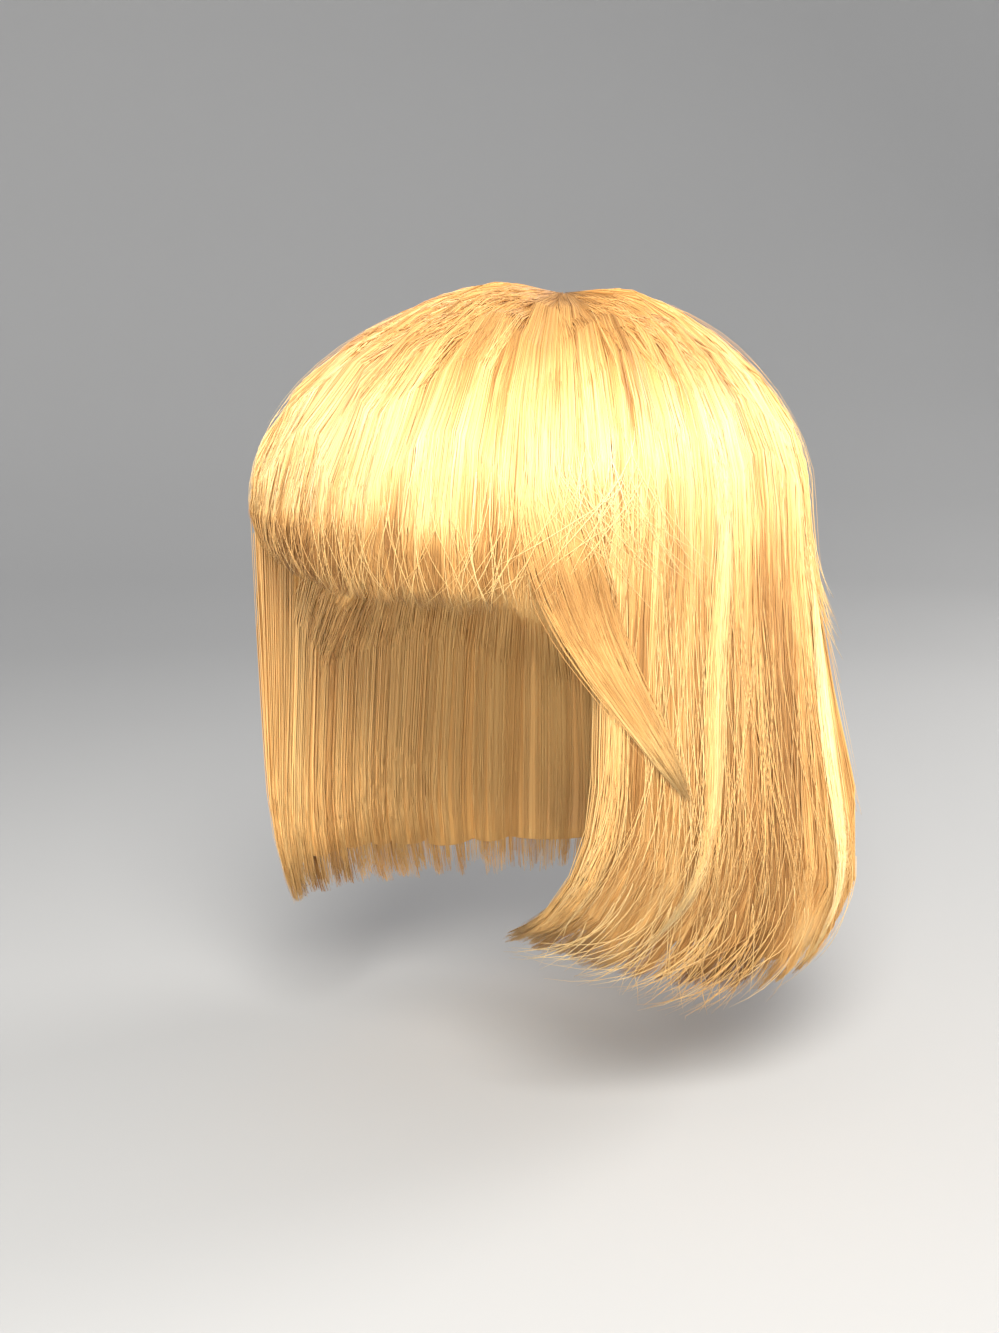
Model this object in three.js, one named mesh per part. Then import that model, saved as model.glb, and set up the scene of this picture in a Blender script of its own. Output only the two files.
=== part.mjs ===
// A bob wig with a full fringe, in the form that it keeps on a head.
// Millimetres, +Z up. -Y is the face side and +X the wearer's left. The origin is the inside top
// of the cap, where the crown of the head sits.
//
// The hair springs from a whorl on top, runs down over the cap as a dome and falls from the level
// where the dome is widest. Each panel of it is a thick wall from the whorl to the tips, with
// locks raised on its outer face. Three long locks lie on the panels, on the left and behind it.

import * as THREE from "three";

// The head that the cap is made for
const headHalfWidth = 76;
const headFront = 92;
const headBack = 98;
const headRise = 88; // from the head's widest level up to its crown

// The cap, a thin dome that is open below, and the patch of false scalp on it
const capWall = 1.6;
const rimDrop = 150; // from the crown down to the rim at the nape
const rimTuck = 12; // by which the cap draws in at the nape
const patchHalfWidth = 15;
const patchHalfLength = 24;
const patchWall = 1;

// Clearances between pieces that lie on each other
const patchGap = 0.4;
const capGap = 1.2;
const panelGap = 0.3;
const longLockGap = 0.5;

// Depth of the hair over the cap
const hairOverTop = 13.4;
const hairAtSides = 28.4;
const hairAtFront = 18.4;
const hairAtBack = 24.4;
const planSquareness = 2.3; // 2 is an ellipse seen from above, and more is squarer

// The whorl that the hair springs from, and the bare spot at its middle
const whorlSide = 2;
const whorlBack = 18;
const creaseAngle = 45; // the way that a crease runs over the whorl
const creaseAhead = 40;
const creaseBehind = 25;
const creaseDepth = 9;
const creaseHalfWidth = 20;
const bareRadius = 5;
const bareAlongCrease = 9; // how much further the bare spot runs along the crease
const bareNarrowness = 4; // more keeps that closer to the crease

// The fall of the hair below the dome
const hangDrop = 78; // from the crown down to the level where the fall starts
const fallLength = 203; // measured along the hair
const fringeLength = 36;
const fallThickness = 18;
const fringeThickness = 13;
const tipThickness = 4;
const wallEase = 1.5; // more keeps a panel thick for longer before it thins to its tips
const rimEase = 30; // height over which a panel's inner face leaves the cap below its rim
const patchMargin = 14; // the inner faces stand over the patch out to this far beyond its tips
const patchEase = 48; // and come back to the cap over this distance

// The locks raised on the panels
const lockRelief = 4.2; // how deep the valley between two locks is
const lockSquareness = 2.2; // 2 is round across a lock, and more is squarer
const lockRise = 1.4; // more brings the valleys to their depth nearer the whorl
const lockStray = 0.22; // how far a valley strays from even spacing, as a share of a lock
const strayTurn = 2.4; // radians by which that stray turns from one valley to the next
const lockPoint = 8; // how far the middle of a lock hangs below its edges
const lockStagger = 7; // how far the tip of one lock may lie above another's
const staggerTurn = 1.9; // radians by which that turns from one lock to the next
const fringePoint = 3;
const fringeStagger = 2.5;

// The sections of the hair around the head. angle is in degrees from the face, positive to the
// wearer's left. full shapes the dome, where 1 is round and more is leaner. swell is a share of the
// plan radius, and length one of the fall's or the fringe's length. flare, curl and sweep are the
// degrees by which the fall leans outward at first, inward at its tip and sideways at its tip.
// start is the share of the length where the curl sets in. flareEase under 1 makes the fall open
// early, curlEase over 1 makes it curl late, and leastOpening is the least share it opens over.
const flareEase = 0.45;
const curlEase = 1.2;
const leastOpening = 0.3;
const fallSections = [
  { angle: -180, full: 1.38, swell: 1.0, length: 1.0, flare: 11, start: 0.66, curl: 40, sweep: 0 },
  { angle: -140, full: 1.3, swell: 1.0, length: 1.0, flare: 11, start: 0.66, curl: 40, sweep: 0 },
  { angle: -110, full: 1.2, swell: 1.02, length: 0.96, flare: 4, start: 0.64, curl: 36, sweep: 0 },
  { angle: -85, full: 1.15, swell: 1.06, length: 0.91, flare: 0, start: 0.62, curl: 22, sweep: 0 },
  { angle: -56, full: 1.16, swell: 1.075, length: 0.89, flare: -2, start: 0.66, curl: 20, sweep: 0 },
  { angle: 61, full: 1.1, swell: 1.0, length: 0.93, flare: -2, start: 0.5, curl: 60, sweep: -42 },
  { angle: 85, full: 1.12, swell: 1.0, length: 0.95, flare: 2, start: 0.6, curl: 52, sweep: -14 },
  { angle: 110, full: 1.25, swell: 1.0, length: 1.0, flare: 7, start: 0.66, curl: 45, sweep: -5 },
  { angle: 140, full: 1.38, swell: 0.975, length: 1.03, flare: 15, start: 0.62, curl: 44, sweep: 4 },
  { angle: 180, full: 1.38, swell: 1.0, length: 1.0, flare: 11, start: 0.66, curl: 40, sweep: 0 },
];
const fringeSections = [
  { angle: -56, full: 1.2, swell: 1.03, length: 0.5, flare: 0, start: 0, curl: 42, sweep: 0 },
  { angle: -30, full: 1.2, swell: 0.985, length: 0.7, flare: 0, start: 0, curl: 42, sweep: 0 },
  { angle: 0, full: 1.17, swell: 0.99, length: 1.0, flare: 2, start: 0, curl: 42, sweep: 0 },
  { angle: 40, full: 1.1, swell: 1.0, length: 1.06, flare: 2, start: 0, curl: 40, sweep: 0 },
  { angle: 61, full: 1.1, swell: 1.0, length: 1.25, flare: 2, start: 0, curl: 38, sweep: 0 },
];

// The panels: the angles that each spans, and how many locks it carries
const fall = {
  sections: fallSections,
  hang: fallLength,
  thickness: fallThickness,
  point: lockPoint,
  stagger: lockStagger,
  rows: 9,
};
const brow = {
  sections: fringeSections,
  hang: fringeLength,
  thickness: fringeThickness,
  point: fringePoint,
  stagger: fringeStagger,
  rows: 4,
};
const panels = [
  { name: "fringe", from: -56, to: 61, locks: 9, ...brow },
  { name: "left_side_hair", from: 61, to: 108, locks: 5, ...fall },
  { name: "back_hair", from: 108, to: 252, locks: 11, ...fall },
  { name: "right_side_hair", from: 252, to: 304, locks: 5, ...fall },
];

// The long locks. Each runs from one level to another, -1 being the whorl, 0 the start of the fall
// and 1 its tips, and from one angle to another, late if bend is high. width and depth are shares.
const longLockWidth = 32;
const longLockDepth = 5;
const longLockEdge = 0.9; // thickness left at a long lock's edges and ends
const longLockBlunt = 0.6; // less is blunter at the ends
const longLockStart = 0.06; // the ends, as shares of the arch that a lock's width follows
const longLockEnd = 0.98;
const longLocks = [
  { name: "swept_lock", from: -0.1, to: 0.53, leave: 47, reach: 75.5, bend: 1.65, width: 0.7, depth: 0.9 },
  { name: "long_lock_1", from: -0.3, to: 0.84, leave: 85.5, reach: 78, bend: 3, width: 0.38, depth: 0.6 },
  { name: "long_lock_2", from: -0.04, to: 0.9, leave: 123, reach: 118.5, bend: 2, width: 0.4, depth: 0.6 },
];

// The drop of the cap's rim around the head, as a share of rimDrop
const rimSections = [
  { angle: 0, drop: 0.39 },
  { angle: 30, drop: 0.41 },
  { angle: 55, drop: 0.53 },
  { angle: 70, drop: 0.76 },
  { angle: 88, drop: 0.71 },
  { angle: 105, drop: 0.67 },
  { angle: 130, drop: 0.82 },
  { angle: 155, drop: 0.96 },
  { angle: 180, drop: 1.0 },
];

// Fineness of the meshes
const columnsPerLock = 4;
const domeRows = 6;
const fallSteps = 24;
const longLockRows = 14;
const longLockColumns = 6;
const capColumns = 48;
const capRows = 10;
const patchColumns = 20;
const patchRings = 3;

const hairFinish = { color: 0xe3b466, roughness: 0.5, metalness: 0 };
const capFinish = { color: 0xcbb28a, roughness: 0.85, metalness: 0 };
const scalpFinish = { color: 0xd9a873, roughness: 0.65, metalness: 0 };

const degree = Math.PI / 180;
const quarterTurn = Math.PI / 2;

function mix(a, b, share) {
  return a + (b - a) * share;
}

function ease(x) {
  const t = Math.min(1, Math.max(0, x));
  return t * t * (3 - 2 * t);
}

// An angle in degrees, brought between -180 and 180.
function wrap(angle) {
  return ((((angle + 180) % 360) + 360) % 360) - 180;
}

// A column of a table at an angle, straight between the rows.
function lookUp(sections, angle, column) {
  let after = sections.findIndex((row) => row.angle >= angle);
  if (after < 0) after = sections.length - 1;
  const b = sections[after];
  const a = sections[Math.max(0, after - 1)];
  const share = a === b ? 0 : (angle - a.angle) / (b.angle - a.angle);
  return mix(a[column], b[column], share);
}

// The level direction that points away from the axis at an angle from the face.
function outward(angle) {
  return new THREE.Vector3(Math.sin(angle * degree), -Math.cos(angle * degree), 0);
}

// Radius of a squared ellipse at an angle from the face.
function planRadius(angle, side, front, back, squareness) {
  const across = Math.abs(Math.sin(angle * degree));
  const along = Math.cos(angle * degree);
  const reach = along > 0 ? front : back;
  const sum = (across / side) ** squareness + (Math.abs(along) / reach) ** squareness;
  return sum ** (-1 / squareness);
}

// Radius of the head, grown by extra, at an angle and a height at or below its widest level.
function neckRadius(angle, z, extra) {
  const widest = planRadius(angle, headHalfWidth + extra, headFront + extra, headBack + extra, 2);
  const share = (z + headRise) / (rimDrop - headRise);
  const backward = (1 - Math.cos(angle * degree)) / 2;
  return widest - rimTuck * backward * share * share;
}

// The head's surface, grown by extra, where a line from the head's middle meets it.
function headUnder(point, extra) {
  if (point.z < -headRise) {
    const angle = Math.atan2(point.x, -point.y) / degree;
    return outward(angle).multiplyScalar(neckRadius(angle, point.z, extra)).setZ(point.z);
  }
  const middle = new THREE.Vector3(0, 0, -headRise);
  const ray = point.clone().sub(middle);
  const reach = ray.y < 0 ? headFront : headBack;
  const length = Math.hypot(
    ray.x / (headHalfWidth + extra),
    ray.y / (reach + extra),
    ray.z / (headRise + extra),
  );
  return middle.addScaledVector(ray, 1 / length);
}

function rimLevel(angle) {
  return -rimDrop * lookUp(rimSections, Math.abs(wrap(angle)), "drop");
}

// A point of the cap: share 0 is the crown and 1 the rim.
function capPoint(angle, share, extra) {
  const drop = -rimLevel(angle);
  const onDome = Math.min(drop, headRise);
  const length = headRise * Math.acos(1 - onDome / headRise) + drop - onDome;
  const turn = (share * length) / headRise;
  if (turn > quarterTurn) {
    const z = -headRise * (1 + turn - quarterTurn);
    return outward(angle).multiplyScalar(neckRadius(angle, z, extra)).setZ(z);
  }
  const widest = planRadius(angle, headHalfWidth + extra, headFront + extra, headBack + extra, 2);
  const z = (headRise + extra) * Math.cos(turn) - headRise;
  return outward(angle).multiplyScalar(widest * Math.sin(turn)).setZ(z);
}

// One section's outer face above the fall: turn is 0 at the whorl and a quarter turn at the fall.
function domeRow(at, angle, turn) {
  const reach = hairReach(at, angle);
  const rise = hangDrop + capWall + hairOverTop;
  const spread = Math.sin(turn) ** at("full");
  const whorl = new THREE.Vector3(whorlSide, whorlBack, 0);
  const crease = outward(creaseAngle);
  const point = whorl.clone().lerp(outward(angle).multiplyScalar(reach), spread);
  const off = point.clone().sub(whorl).dot(crease);
  const along = Math.min(creaseAhead, Math.max(-creaseBehind, off));
  const fromCrease = point.distanceTo(whorl.addScaledVector(crease, along));
  const dip = creaseDepth * Math.exp(-((fromCrease / creaseHalfWidth) ** 2));
  point.z = rise * Math.cos(turn) - hangDrop - dip;
  const run = reach * at("full") * Math.sin(turn) ** (at("full") - 1) * Math.cos(turn);
  return { point, angle, lean: Math.atan2(run, rise * Math.sin(turn)) };
}

function hairReach(at, angle) {
  const side = headHalfWidth + capWall + hairAtSides;
  const front = headFront + capWall + hairAtFront;
  const back = headBack + capWall + hairAtBack;
  return at("swell") * planRadius(angle, side, front, back, planSquareness);
}

// One section's outer face below the dome, at a share of its length.
function fallRow(at, angle, length, share) {
  const curling = (s) => Math.max(0, (s - at("start")) / (1 - at("start")));
  const leanAt = (s) => {
    const open = Math.min(1, s / Math.max(at("start"), leastOpening));
    const flare = at("flare") * Math.sin(quarterTurn * open) ** flareEase * (1 - curling(s));
    return (flare - at("curl") * curling(s) ** curlEase) * degree;
  };
  const sweepAt = (s) => at("sweep") * curling(s) * degree;
  const stride = (length * share) / fallSteps;
  let radius = hairReach(at, angle);
  let heading = angle;
  let z = -hangDrop;
  for (let i = 0; i < fallSteps; i++) {
    const s = (share * (i + 0.5)) / fallSteps;
    radius += stride * Math.sin(leanAt(s));
    heading += (stride * Math.sin(sweepAt(s))) / radius / degree;
    z -= stride * Math.cos(leanAt(s)) * Math.cos(sweepAt(s));
  }
  const point = outward(heading).multiplyScalar(radius).setZ(z);
  return { point, angle: heading, lean: leanAt(share) };
}

// The outer face of the hair at an angle and level, with cut taken off its length.
function hairRow({ sections, hang }, angle, level, cut) {
  const at = (column) => lookUp(sections, wrap(angle), column);
  if (level < 0) return domeRow(at, angle, quarterTurn * (1 + level));
  return fallRow(at, angle, hang * at("length") - cut, level);
}

// The direction square to the outer face at a row, into the hair.
function intoHair({ angle, lean }) {
  return outward(angle).multiplyScalar(-Math.cos(lean)).setZ(-Math.sin(lean));
}

// The inner face of a panel behind a row of its outer face.
function innerPoint(row, thickness, level) {
  const patchMiddle = new THREE.Vector2(whorlSide, whorlBack - patchHalfLength / 2);
  const pastPatch = patchMiddle.distanceTo(row.point) - patchHalfLength - patchMargin;
  const overPatch = (patchGap + patchWall) * ease(1 - pastPatch / patchEase);
  const onCap = headUnder(row.point, capWall + capGap + overPatch);
  const wall = mix(thickness, tipThickness, Math.max(0, level) ** wallEase);
  const hanging = row.point.clone().addScaledVector(intoHair(row), wall);
  return onCap.lerp(hanging, ease((rimLevel(row.angle) - row.point.z) / rimEase));
}

// A closed solid between an outer and an inner grid of points, both indexed [column][row], with
// the columns running to the left seen from outside.
function wallBetween(outer, inner) {
  const rows = outer[0].length;
  const last = outer.length - 1;
  const points = [...outer.flat(), ...inner.flat()];
  const out = (c, r) => c * rows + r;
  const back = (c, r) => (outer.length + c) * rows + r;
  const index = [];
  const quad = (a, b, c, d) => index.push(a, b, c, a, c, d);
  for (let c = 0; c < last; c++) {
    for (let r = 0; r + 1 < rows; r++) {
      quad(out(c, r), out(c, r + 1), out(c + 1, r + 1), out(c + 1, r));
      quad(back(c, r), back(c + 1, r), back(c + 1, r + 1), back(c, r + 1));
    }
    quad(out(c, 0), out(c + 1, 0), back(c + 1, 0), back(c, 0));
    quad(out(c, rows - 1), back(c, rows - 1), back(c + 1, rows - 1), out(c + 1, rows - 1));
  }
  for (let r = 0; r + 1 < rows; r++) {
    quad(out(0, r), back(0, r), back(0, r + 1), out(0, r + 1));
    quad(out(last, r), out(last, r + 1), back(last, r + 1), back(last, r));
  }
  return meshOf(points, index);
}

// A closed shell between two domes of points, both indexed [column][ring] with ring 0 shared.
function shellBetween(outer, inner) {
  const rings = outer[0].length;
  const columns = outer.length;
  const points = [...outer.flat(), ...inner.flat()];
  const place = (layer) => (c, r) => (layer * columns + (r === 0 ? 0 : c % columns)) * rings + r;
  const [out, back] = [place(0), place(1)];
  const index = [];
  for (let c = 0; c < columns; c++) {
    for (let r = 0; r + 1 < rings; r++) {
      index.push(out(c, r), out(c, r + 1), out(c + 1, r + 1));
      index.push(back(c, r), back(c + 1, r + 1), back(c, r + 1));
      if (r > 0) {
        index.push(out(c, r), out(c + 1, r + 1), out(c + 1, r));
        index.push(back(c, r), back(c + 1, r), back(c + 1, r + 1));
      }
    }
    const rim = rings - 1;
    index.push(out(c, rim), back(c, rim), back(c + 1, rim));
    index.push(out(c, rim), back(c + 1, rim), out(c + 1, rim));
  }
  return meshOf(points, index);
}

// A geometry with only the points that its faces use.
function meshOf(points, index) {
  const used = [...new Set(index)];
  const renumbered = new Map(used.map((old, i) => [old, i]));
  const positions = used.flatMap((old) => points[old].toArray());
  const geometry = new THREE.BufferGeometry();
  geometry.setAttribute("position", new THREE.Float32BufferAttribute(positions, 3));
  geometry.setIndex(index.map((old) => renumbered.get(old)));
  return geometry;
}

function grid(columns, rows, pointAt) {
  const line = (c) => Array.from({ length: rows }, (_, r) => pointAt(c, r));
  return Array.from({ length: columns }, (_, c) => line(c));
}

function capGeometry() {
  const face = (extra) =>
    grid(capColumns, capRows + 1, (c, r) => capPoint((360 * c) / capColumns, r / capRows, extra));
  return shellBetween(face(capWall), face(0));
}

// The false scalp: a thin oval that lies on the cap under the whorl.
function patchGeometry() {
  const face = (extra) =>
    grid(patchColumns, patchRings + 1, (c, r) => {
      const around = (2 * Math.PI * c) / patchColumns;
      const x = whorlSide + (patchHalfWidth * Math.sin(around) * r) / patchRings;
      const y = whorlBack - patchHalfLength / 2 - (patchHalfLength * Math.cos(around) * r) / patchRings;
      const reach = y < 0 ? headFront : headBack;
      const level = Math.hypot(x / (headHalfWidth + extra), y / (reach + extra));
      return new THREE.Vector3(x, y, (headRise + extra) * Math.sqrt(1 - level * level) - headRise);
    });
  return shellBetween(face(capWall + patchGap + patchWall), face(capWall + patchGap));
}

// Where a panel's column lies: its angle, how far it is from a valley (0) to the middle of its
// lock (1), and how much shorter than the panel it is.
function columnOf({ from, to, locks, point, stagger }, column) {
  const lock = Math.min(locks - 1, Math.floor(column / columnsPerLock));
  const within = column / columnsPerLock - lock;
  const border = (k) => (k % locks === 0 ? k : k + lockStray * Math.sin(strayTurn * k + locks));
  const angle = mix(from, to, mix(border(lock), border(lock + 1), within) / locks);
  const crown = 1 - Math.abs(2 * within - 1) ** lockSquareness;
  const raised = (stagger * (1 + Math.sin(staggerTurn * lock + 1))) / 2;
  return { angle, crown, cut: point * (1 - crown) + raised * crown };
}

// Where the rows of a section lie, from the edge of the bare spot to the tip.
function levelsOf(panel, angle) {
  const at = (column) => lookUp(panel.sections, wrap(angle), column);
  const alongCrease = Math.max(0, Math.cos((angle - creaseAngle) * degree)) ** bareNarrowness;
  const bare = bareRadius + bareAlongCrease * alongCrease;
  const first = Math.asin((bare / hairReach(at, angle)) ** (1 / at("full"))) / quarterTurn;
  const dome = Array.from({ length: domeRows }, (_, i) => mix(first, 1, i / domeRows) - 1);
  const hanging = Array.from({ length: panel.rows + 1 }, (_, i) => i / panel.rows);
  return [...dome, ...hanging];
}

function panelGeometry(panel) {
  const columns = panel.locks * columnsPerLock;
  const outer = [];
  const inner = [];
  for (let c = 0; c <= columns; c++) {
    const { angle, crown, cut } = columnOf(panel, c);
    const aside = (panelGap / 2) * (c === 0 ? 1 : c === columns ? -1 : 0);
    const faces = levelsOf(panel, angle).map((level) => {
      const row = hairRow(panel, angle, level, cut);
      const inside = innerPoint(row, panel.thickness, level);
      const wall = inside.distanceTo(row.point);
      const valley = Math.min(lockRelief * ease(lockRise * (1 + level)), wall / 2) * (1 - crown);
      const shift = outward(row.angle + 90).multiplyScalar(aside);
      const outside = row.point.clone().lerp(inside, valley / wall);
      return [outside.add(shift), inside.add(shift)];
    });
    outer.push(faces.map(([outside]) => outside));
    inner.push(faces.map(([, inside]) => inside));
  }
  return wallBetween(outer, inner);
}

function longLockGeometry({ from, to, leave, reach, bend, width, depth }) {
  const bulge = longLockDepth * depth - longLockEdge;
  const face = (share) =>
    grid(longLockColumns + 1, longLockRows + 1, (c, r) => {
      const along = r / longLockRows;
      const across = (2 * c) / longLockColumns - 1;
      const taper = Math.sin(Math.PI * mix(longLockStart, longLockEnd, along)) ** longLockBlunt;
      const middle = mix(leave, reach, along ** bend);
      const radius = hairReach((column) => lookUp(fallSections, middle, column), middle);
      const angle = middle + (across * taper * longLockWidth * width) / 2 / radius / degree;
      const row = hairRow(fall, angle, mix(from, to, along), 0);
      const raised = longLockEdge + bulge * taper * (1 - across * across);
      return row.point.addScaledVector(intoHair(row), -longLockGap - share * raised);
    });
  return wallBetween(face(1), face(0));
}

function piece(name, geometry, finish) {
  const mesh = new THREE.Mesh(geometry, new THREE.MeshStandardMaterial(finish));
  mesh.name = name;
  return mesh;
}

const wig = new THREE.Group();
wig.add(piece("cap", capGeometry(), capFinish));
wig.add(piece("scalp_patch", patchGeometry(), scalpFinish));
for (const panel of panels) wig.add(piece(panel.name, panelGeometry(panel), hairFinish));
for (const lock of longLocks) wig.add(piece(lock.name, longLockGeometry(lock), hairFinish));

export default wig;
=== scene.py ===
import math

import bpy
import numpy as np
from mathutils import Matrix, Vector


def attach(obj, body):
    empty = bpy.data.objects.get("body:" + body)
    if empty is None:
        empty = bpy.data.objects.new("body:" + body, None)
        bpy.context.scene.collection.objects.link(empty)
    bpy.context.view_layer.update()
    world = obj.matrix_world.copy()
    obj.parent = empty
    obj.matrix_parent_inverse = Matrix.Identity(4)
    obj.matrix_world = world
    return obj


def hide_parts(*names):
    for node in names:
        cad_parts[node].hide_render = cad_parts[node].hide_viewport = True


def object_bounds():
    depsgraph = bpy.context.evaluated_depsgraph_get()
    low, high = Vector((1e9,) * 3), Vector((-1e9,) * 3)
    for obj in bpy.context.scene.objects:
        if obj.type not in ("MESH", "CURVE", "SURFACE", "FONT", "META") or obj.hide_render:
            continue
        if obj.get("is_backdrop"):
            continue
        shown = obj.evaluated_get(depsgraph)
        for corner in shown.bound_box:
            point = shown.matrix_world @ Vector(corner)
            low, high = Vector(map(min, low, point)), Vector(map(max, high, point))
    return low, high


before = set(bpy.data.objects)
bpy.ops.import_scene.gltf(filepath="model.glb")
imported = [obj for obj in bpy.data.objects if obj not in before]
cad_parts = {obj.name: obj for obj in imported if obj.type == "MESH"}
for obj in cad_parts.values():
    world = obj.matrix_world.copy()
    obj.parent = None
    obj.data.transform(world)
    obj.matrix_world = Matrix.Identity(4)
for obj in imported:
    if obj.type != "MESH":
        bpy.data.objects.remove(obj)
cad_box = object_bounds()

# Sizes in metres, as in the part's own source. -Y is the face side and +X the wearer's left.
MM = 0.001

# The head that the cap is made for, and the cap
HEAD_HALF_WIDTH = 76 * MM
HEAD_FRONT = 92 * MM
HEAD_BACK = 98 * MM
HEAD_RISE = 88 * MM
CAP_WALL = 1.6 * MM
CAP_GAP = 1.2 * MM
RIM_DROP = 150 * MM
RIM_TUCK = 12 * MM
RIM_EASE = 30 * MM
PATCH_GAP = 0.4 * MM
PATCH_WALL = 1 * MM
PATCH_HALF_LENGTH = 24 * MM

# Depth of the hair over the cap
HAIR_OVER_TOP = 13.4 * MM
HAIR_AT_SIDES = 28.4 * MM
HAIR_AT_FRONT = 18.4 * MM
HAIR_AT_BACK = 24.4 * MM
PLAN_SQUARENESS = 2.3

# The whorl, and the crease that runs over it
WHORL_SIDE = 2 * MM
WHORL_BACK = 18 * MM
CREASE_ANGLE = 45.0
CREASE_AHEAD = 40 * MM
CREASE_BEHIND = 25 * MM
CREASE_DEPTH = 9 * MM
CREASE_HALF_WIDTH = 20 * MM
BARE_RADIUS = 5 * MM
BARE_ALONG_CREASE = 9 * MM

# The fall below the dome
HANG_DROP = 78 * MM
FALL_LENGTH = 203 * MM
FRINGE_LENGTH = 36 * MM
FALL_THICKNESS = 18 * MM
FRINGE_THICKNESS = 13 * MM
TIP_THICKNESS = 4 * MM
LOCK_RELIEF = 4.2 * MM

# Sections around the head, as in the part's source. Angles are in degrees from the face, positive
# to the wearer's left.
FALL_SECTIONS = {
    "angle": [-180, -140, -110, -85, -56, 61, 85, 110, 140, 180],
    "full": [1.38, 1.3, 1.2, 1.15, 1.16, 1.1, 1.12, 1.25, 1.38, 1.38],
    "swell": [1.0, 1.0, 1.02, 1.06, 1.075, 1.0, 1.0, 1.0, 0.975, 1.0],
    "length": [1.0, 1.0, 0.96, 0.91, 0.89, 0.93, 0.95, 1.0, 1.03, 1.0],
    "flare": [11, 11, 4, 0, -2, -2, 2, 7, 15, 11],
    "start": [0.66, 0.66, 0.64, 0.62, 0.66, 0.5, 0.6, 0.66, 0.62, 0.66],
    "curl": [40, 40, 36, 22, 20, 60, 52, 45, 44, 40],
    "sweep": [0, 0, 0, 0, 0, -42, -14, -5, 4, 0],
}
FRINGE_SECTIONS = {
    "angle": [-56, -30, 0, 40, 61],
    "full": [1.2, 1.2, 1.17, 1.1, 1.1],
    "swell": [1.03, 0.985, 0.99, 1.0, 1.0],
    "length": [0.5, 0.7, 1.0, 1.06, 1.25],
    "flare": [0, 0, 2, 2, 2],
    "start": [0, 0, 0, 0, 0],
    "curl": [42, 42, 42, 40, 38],
    "sweep": [0, 0, 0, 0, 0],
}
RIM_ANGLES = [0, 30, 55, 70, 88, 105, 130, 155, 180]
RIM_SHARES = [0.39, 0.41, 0.53, 0.76, 0.71, 0.67, 0.82, 0.96, 1.0]

# How finely the outer face is worked out before anything is laid on it
DOME_LEVELS = 33
FALL_LEVELS = 65
LAST_LEVEL = 1.12


def ease(x):
    t = np.clip(x, 0, 1)
    return t * t * (3 - 2 * t)


def mix(a, b, share):
    return a + (b - a) * share


def wrap(angle):
    return (np.asarray(angle) + 180) % 360 - 180


def outward(angle):
    """The level direction away from the axis, for an array of angles."""
    a = np.radians(angle)
    return np.stack([np.sin(a), -np.cos(a), np.zeros_like(a)], axis=-1)


def unit(v):
    return v / np.maximum(np.linalg.norm(v, axis=-1, keepdims=True), 1e-12)


def plan_radius(angle, side, front, back, squareness):
    a = np.radians(angle)
    reach = np.where(np.cos(a) > 0, front, back)
    across = (np.abs(np.sin(a)) / side) ** squareness
    along = (np.abs(np.cos(a)) / reach) ** squareness
    return (across + along) ** (-1 / squareness)


def rim_level(angle):
    return -RIM_DROP * np.interp(np.abs(wrap(angle)), RIM_ANGLES, RIM_SHARES)


def head_under(points, extra):
    """The head's surface, grown by extra, under an array of points."""
    x, y, z = np.moveaxis(points, -1, 0)
    reach = np.where(y < 0, HEAD_FRONT, HEAD_BACK) + extra
    up = (z + HEAD_RISE) / (HEAD_RISE + extra)
    length = np.sqrt((x / (HEAD_HALF_WIDTH + extra)) ** 2 + (y / reach) ** 2 + up**2)
    middle = np.array([0, 0, -HEAD_RISE])
    on_dome = middle + (points - middle) / length[..., None]
    angle = np.degrees(np.arctan2(x, -y))
    widest = plan_radius(angle, HEAD_HALF_WIDTH + extra, HEAD_FRONT + extra, HEAD_BACK + extra, 2)
    share = (z + HEAD_RISE) / (RIM_DROP - HEAD_RISE)
    radius = widest - RIM_TUCK * (1 - np.cos(np.radians(angle))) / 2 * share**2
    below = outward(angle) * radius[..., None]
    below[..., 2] = z
    return np.where((z < -HEAD_RISE)[..., None], below, on_dome)


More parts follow.
